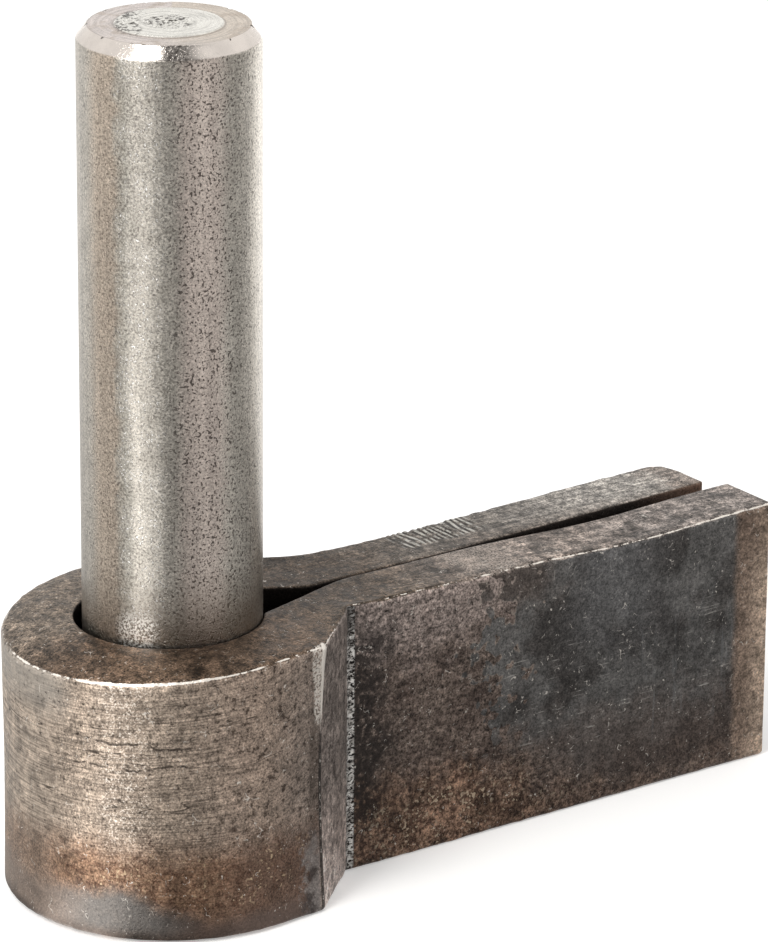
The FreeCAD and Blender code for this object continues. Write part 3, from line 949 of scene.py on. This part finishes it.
        # Thin dark line down the ridge below the scraped strip: a painted shadow line.
        ridge_shadow = (self.attribute("ridge_line"), 0.3, 0.7)
        return self.layer(
            colour,
            # Painted shade on the leg beside the fold's inside corner.
            ((45, 41, 40), 0.82, (self.ragged_x, 20, 15.6), (self.x, 13.1, 13.6), self.front,
             (self.small, 0.74, 0.5), (self.z, -1, -4.5, 0.4, 1.0), (self.z, -24.5, -19, 0.4, 1.0)),
            ((36, 33, 32), 0.92, (crease, 0.25, 0.5)),
            (crumbs, 0.95, (crease, 0.3, 0.55), (broken, 0.46, 0.5), (self.ragged_z, -0.5, -3.5, 0.2, 1.0)),
            ((40, 35, 32), 0.85, ridge_shadow, (self.ragged_z, -7.5, -10)))

    def bright_metal(self):
        """Masks of the bare metal: worn edges, the scraped ridge and stray flecks."""
        wear = self.less(self.noise(1.1, 5, 0.75), 0.5)
        rim = self.all_of((self.around, -36, -24), (self.around, 26, 10), (self.x, 9, 6))
        eye_rim = self.all_of((self.x, 10, 7), (self.around, -75, -62))
        leg_rim = self.all_of(self.front, (self.x, 26, 34))
        limit = self.blend(rim, self.blend(self.either(eye_rim, leg_rim), 1.02, 0.86), 0.66)
        limit = self.blend((self.z, -20, -5), 1.2, limit)
        edge = self.attribute("edge")
        worn = self.less(self.add(wear, 1.5, self.all_of(edge, edge)), limit)
        strip = self.add(self.ragged_z, 0.085, self.attribute("ridge"))
        grit = self.noise(4.2, 3, 0.7)
        scraped = self.all_of((strip, 0.22, 0.42), (grit, 0.46, 0.52), 0.72)
        ridge_line = self.attribute("ridge_line")
        line = self.add(self.ragged_z, 0.085, ridge_line)
        chips = self.add(wear, 1.6, ridge_line)
        return self.either((worn, -0.03, 0.05), (line, 0.2, 0.4), (chips, 1.02, 1.12), scraped,
                           self.all_of(self.specks(), 0.85))

    def build(self):
        sides = self.all_of(self.attribute("eye_side"), self.attribute("outside"))
        colour = self.mix(sides, self.leg(), self.eye())
        colour = self.folded(self.mix(self.attribute("facet"), colour, self.neck()))
        facing = self.split(self.node("ShaderNodeNewGeometry").outputs["Normal"])[2]
        colour = self.mix((facing, 0.5, 0.8), colour, self.top())
        # Inner faces, in the bore and between the legs: painted shade, darkest deep in and lighter towards
        # the legs' open ends.
        inner = self.mix((self.x, 50, 60), (40, 35, 32), (116, 96, 84))
        colour = self.mix(self.inner, colour, self.grained(inner, 0.6, 1.5))
        bright = self.bright_metal()
        colour = self.mix(bright, colour, (232, 225, 216))
        rough = self.blend(bright, self.blend((self.medium, 0.3, 0.7), 0.40, 0.54), 0.30)
        relief = self.add(self.fine, 0.5, self.all_of(self.small, 0.8))
        relief = self.less(relief, self.all_of(self.pits, 0.5))
        return self.finish(colour, rough, self.blend(bright, 0.85, 0.4), relief, depth=0.0001, strength=0.8)


class PinSteel(Steel):
    """Bright drawn bar: fine pits, bright scratches with painted glints, painted shade at its foot and a
    paler faced end.
    """

    def __init__(self):
        super().__init__("pin_steel")
        self.around = self.turn(self.place)
        self.medium = self.noise(0.5, 4)
        self.fine = self.noise(5, 3, 0.65)
        self.wander = self.add(self.medium, 12, self.less(self.around, 6))
        self.off_axis = self.radius()
        self.bevelled = self.ramp(self.off_axis, CHAMFER_R - 0.06, CHAMFER_R + 0.04)

    def pitting(self):
        """Small dark pits, densest on the warm side."""
        dense = self.all_of((self.wander, -4, 14, 0.5, 1.0), (self.wander, 62, 34, 0.7, 1.0))
        large = self.all_of((self.noise(4.6, 0, 0.5), 0.65, 0.68), dense)
        small = self.all_of((self.noise(7, 1, 0.5), 0.61, 0.66), dense, 0.75)
        return self.either(large, small)

    def scratches_and_glints(self):
        """Short slanting bright scratches in loose groups, five times stronger in the highlight band as a
        painted highlight.
        """
        sources = {"Vector": self.unrolled_mm(), "Angle": math.radians(38.0)}
        slanted = self.node("ShaderNodeVectorRotate", sources, rotation_type="Z_AXIS").outputs[0]
        lines = self.noise((0.55, 6.5, 1), 2, 0.55, slanted)
        return self.all_of((lines, 0.64, 0.69), (self.medium, 0.47, 0.6),
                           (self.wander, -36, -28, 0.2, 1.0), (self.wander, 6, -6, 0.2, 1.0))

    def side(self, pit):
        """Lengthwise stains: tan at the left, green-grey, then a warm grey with dense pits."""
        colour = self.mix((self.medium, 0.3, 0.7), (184, 178, 169), (197, 191, 182))
        colour = self.layer(
            colour,
            ((192, 173, 154), 0.6, (self.wander, -62, -46), (self.wander, -26, -38)),
            ((158, 156, 146), 0.35, (self.wander, -36, -32), (self.wander, -20, -28)),
            ((196, 182, 174), 0.75, (self.wander, 2, 14), (self.wander, 44, 30)))
        colour = self.varied(colour, self.noise((1.3, 1.3, 0.05), 4, 0.6), 0.88, 1.1)
        glint_flecks = self.noise(4.6, 2, 0.6)
        return self.layer(
            self.grained(colour, 0.66, 1.32),
            ((62, 55, 52), 0.84, pit),
            # Bright scratches, partly painted highlight where they cross the highlight band.
            ((236, 233, 228), 0.75, self.scratches_and_glints()),
            # White flecks in the lamp's highlight band: painted glints.
            ((255, 253, 250), (self.wander, -36, -28), (self.wander, 4, -8), (glint_flecks, 0.61, 0.66),
             (self.medium, 0.4, 0.56)),
            # Darker low on the pin where it meets the eye: painted shade.
            ((116, 105, 93), 0.6, (self.z, 8, 0.6)),
            # White band at the foot, only within the highlight band: a painted highlight.
            ((248, 244, 238), 0.9, (self.z, 3.4, 1.6), (self.wander, -36, -28), (self.wander, -4, -12),
             (self.fine, 0.46, 0.54)))

    def end(self):
        """Faced end: concentric tool rings, a whiter disc and dark torn flecks."""
        radius = self.off_axis
        spread = self.node("ShaderNodeCombineXYZ", (radius, self.all_of(self.around, 0.006))).outputs[0]
        rim = self.mix((self.around, -30, 60), (226, 216, 211), (222, 210, 196))
        colour = self.mix((radius, DISC_R, DISC_R + 0.15), (247, 245, 238), rim)
        colour = self.varied(colour, self.noise(3.2, 4, 0.75, spread), 0.72, 1.06, 0.38, 0.6)
        colour = self.layer(
            colour,
            ((184, 168, 152), 0.6, (self.medium, 0.5, 0.64), (radius, DISC_R, DISC_R + 0.4)))
        colour = self.grained(colour, 0.84, 1.1)
        groove = self.gap(radius, DISC_R + 0.16)
        brink = self.gap(radius, CHAMFER_R)
        bevel = self.tone((228, 220, 213), self.ramp(self.medium, 0.3, 0.7, 0.9, 1.04))
        scraped = self.noise(3, 3, 0.7)
        bevel = self.layer(
            bevel,
            ((96, 88, 83), 0.7, (self.around, -2, 3), (self.around, 18, 11), (scraped, 0.5, 0.56)))
        flakes = self.all_of((self.attribute("torn"), 0.1, 0.45),
                             (self.noise(2.4, 3, 0.65), 0.51, 0.55))
        flakes = self.either(flakes, (self.attribute("nick"), 0.25, 0.5))
        return self.layer(
            colour,
            ((140, 131, 125), (groove, 0.12, 0.03, 0, 0.5)),
            ((150, 140, 134), (brink, 0.14, 0.04, 0, 0.35)),
            (bevel, self.bevelled),
            ((58, 51, 46), 0.92, flakes))

    def build(self):
        pit = self.pitting()
        ended = self.ramp(self.z, 52.66, 52.8)
        rough = self.blend((self.fine, 0.3, 0.7), 0.28, 0.42)
        rough = self.blend(ended, rough, self.blend(self.bevelled, 0.27, 0.16))
        relief = self.all_of(self.less(self.all_of(self.fine, 0.6), pit), (ended, 0, 1, 1.0, 0.15))
        colour = self.mix(ended, self.side(pit), self.end())
        return self.finish(colour, rough, 1.0, relief, depth=0.00005, strength=0.8)


class WeldSteel(Steel):
    """Dull rippled weld metal with straw and blue heat tints and grey slag specks."""

    def __init__(self):
        super().__init__("weld_steel")
        self.medium = self.noise(0.6, 5, 0.6)
        self.fine = self.noise(4, 4, 0.65)

    def build(self):
        tint = self.add(self.medium, 3, self.radius())
        colour = self.mix((tint, 2, 5), (120, 112, 106), (138, 118, 98))
        colour = self.layer(
            colour,
            ((96, 98, 108), (tint, 6, 8)),
            ((112, 96, 86), (tint, 8.4, 9.6)))
        slag = (self.noise(1.8, 2, 0.5), 0.66, 0.70)
        colour = self.layer(self.grained(colour, 0.6, 1.4), ((58, 54, 52), slag))
        rough = self.blend((self.medium, 0.3, 0.7), 0.34, 0.5)
        return self.finish(colour, rough, 0.9, self.fine, depth=0.00008, strength=0.7)


for piece, steel in ((strap, StrapSteel), (pin, PinSteel), (weld, WeldSteel)):
    piece.data.materials.clear()
    piece.data.materials.append(steel().build())


# Camera

def add_camera():
    ahead = math.cos(PITCH) * BEHIND - math.sin(PITCH) * UPWARD
    up = RIGHT.cross(ahead)
    tilted_right = math.cos(ROLL) * RIGHT + math.sin(ROLL) * up
    tilted_up = -math.sin(ROLL) * RIGHT + math.cos(ROLL) * up
    data = bpy.data.cameras.new("camera")
    data.sensor_fit = "HORIZONTAL"
    data.sensor_width = SENSOR_MM
    data.lens = FOCAL_PX / IMAGE_WIDTH * SENSOR_MM
    data.clip_start, data.clip_end = CLIP_METRES
    camera = show(data, "camera")
    matrix = Matrix((tilted_right, tilted_up, -ahead)).transposed().to_4x4()
    matrix.translation = Vector(CAMERA_MM) * MM
    camera.matrix_world = matrix
    bpy.context.scene.camera = camera


# Floor, world and lamp: lengths in metres

WHITE = (1.0, 1.0, 1.0)
FLOOR_HALF = 3.0
FLOOR_CLEARANCE = 0.00002
FLOOR_GREY = (0.8, 0.8, 0.8)
FLOOR_LIFT = 0.3
MIRROR_NEAR = 0.07
MIRROR_FAR = 0.22
MIRROR_TINT = (1.0, 0.99, 0.97)
GLOW_RANGE = (0.83, 1.32)
POOL_RANGE = (1.15, 0.2)
ROOM_TURN = (30, 75)
ROOM_RANGE = (0.22, 0.95)
ROOM_TINT = (1.0, 0.985, 0.965)
FLOOR_GLOW = ((-180, 0.95), (-130, 0.8), (-85, 0.68), (-70, 0.42), (-56, 0.6), (-26, 0.55), (-10, 0.26),
              (10, 0.28), (34, 0.86), (66, 0.68), (90, 0.36), (112, 0.37), (134, 1.6), (180, 1.5))
KEY_POOL = ((-180, 0.0), (-57, 0.0), (-47, 1.55), (-28, 1.55), (-10, 0.0), (180, 0.0))


class Stage(Shader):
    """Wiring for the floor and the world."""

    def glow(self, kind, strength, colour):
        return self.node(kind, {"Strength": strength, "Color": colour}).outputs[0]

    def around(self, turn, levels):
        """Brightness round the part, from stops of (degrees, level)."""
        node = self.node("ShaderNodeValToRGB", (self.ramp(turn, -180, 180, kind="LINEAR"),))
        node.color_ramp.interpolation = "EASE"
        stops = node.color_ramp.elements
        while len(stops) < len(levels):
            stops.new(0.5)
        for stop, (degrees, level) in zip(stops, levels):
            stop.position = (degrees + 180.0) / 360.0
            stop.color = (level, level, level, 1.0)
        return node.outputs[0]

    def finish(self, choice, first, second):
        """Surface that is the first glow, or the second one for the chosen rays."""
        rays = self.node("ShaderNodeLightPath").outputs[choice]
        chosen = self.node("ShaderNodeMixShader", (rays, first, second)).outputs[0]
        self.put(self.output.inputs["Surface"], chosen)


def add_floor():
    """White floor that shows mirror-like rays bright and dark stretches."""
    mesh = bpy.data.meshes.new("floor")
    level = UNDER * MM - FLOOR_CLEARANCE
    square = ((-1, -1), (1, -1), (1, 1), (-1, 1))
    mesh.from_pydata([(FLOOR_HALF * a, FLOOR_HALF * b, level) for a, b in square], [], [(0, 1, 2, 3)])
    stage = Stage(bpy.data.materials.new("floor_white"))
    seen = stage.node("ShaderNodeLightPath").outputs["Is Camera Ray"]
    lift = stage.glow("ShaderNodeEmission", stage.all_of(seen, FLOOR_LIFT), WHITE)
    matt = stage.node("ShaderNodeBsdfDiffuse", {"Color": FLOOR_GREY}).outputs[0]
    place = stage.node("ShaderNodeTexCoord").outputs["Object"]
    turn = stage.turn(place)
    away = stage.vector("LENGTH", place)["Value"]
    far = stage.ramp(away, MIRROR_NEAR, MIRROR_FAR, kind="LINEAR")
    glow = stage.all_of(stage.around(turn, FLOOR_GLOW), stage.blend(far, *GLOW_RANGE))
    pool = stage.all_of(stage.around(turn, KEY_POOL), stage.blend(far, *POOL_RANGE))
    mirror = stage.glow("ShaderNodeEmission", stage.math("ADD", glow, pool), MIRROR_TINT)
    stage.finish("Is Glossy Ray", stage.node("ShaderNodeAddShader", (matt, lift)).outputs[0], mirror)
    mesh.materials.append(stage.owner)
    floor = show(mesh, "floor")


def add_world():
    """Soft room, darker behind the camera, that the camera itself sees as white."""
    bpy.context.scene.world = bpy.data.worlds.new("studio")
    stage = Stage(bpy.context.scene.world, "ShaderNodeOutputWorld")
    turn = stage.turn(stage.node("ShaderNodeTexCoord").outputs["Generated"])
    strength = stage.ramp(stage.math("ABSOLUTE", turn), *ROOM_TURN, *ROOM_RANGE)
    room = stage.glow("ShaderNodeBackground", strength, ROOM_TINT)
    stage.finish("Is Camera Ray", room, stage.glow("ShaderNodeBackground", 1.0, WHITE))


LAMP_TARGET = Vector((0.005, 0.0, 0.01))
LAMP_AZIMUTH = math.radians(-38.0)
LAMP_ELEVATION = math.radians(36.0)
LAMP_DISTANCE = 0.7
LAMP_WIDTH = 0.27
LAMP_HEIGHT = 0.8
LAMP_WATTS = 5.6
LAMP_TINT = (1.0, 0.985, 0.96)


def add_lamp():
    """Soft box, its azimuth counted to the right of the camera's side of the part."""
    data = bpy.data.lights.new("key_left", "AREA")
    data.shape = "RECTANGLE"
    data.size = LAMP_WIDTH
    data.size_y = LAMP_HEIGHT
    data.energy = LAMP_WATTS
    data.color = LAMP_TINT
    lamp = show(data, "key_left")
    level = math.sin(LAMP_AZIMUTH) * RIGHT - math.cos(LAMP_AZIMUTH) * BEHIND
    toward = math.cos(LAMP_ELEVATION) * level + math.sin(LAMP_ELEVATION) * UPWARD
    lamp.location = LAMP_TARGET + toward * LAMP_DISTANCE
    lamp.rotation_euler = toward.to_track_quat("Z", "Y").to_euler()


bpy.context.scene.view_settings.view_transform = "Standard"
add_camera()
add_floor()
add_world()
add_lamp()
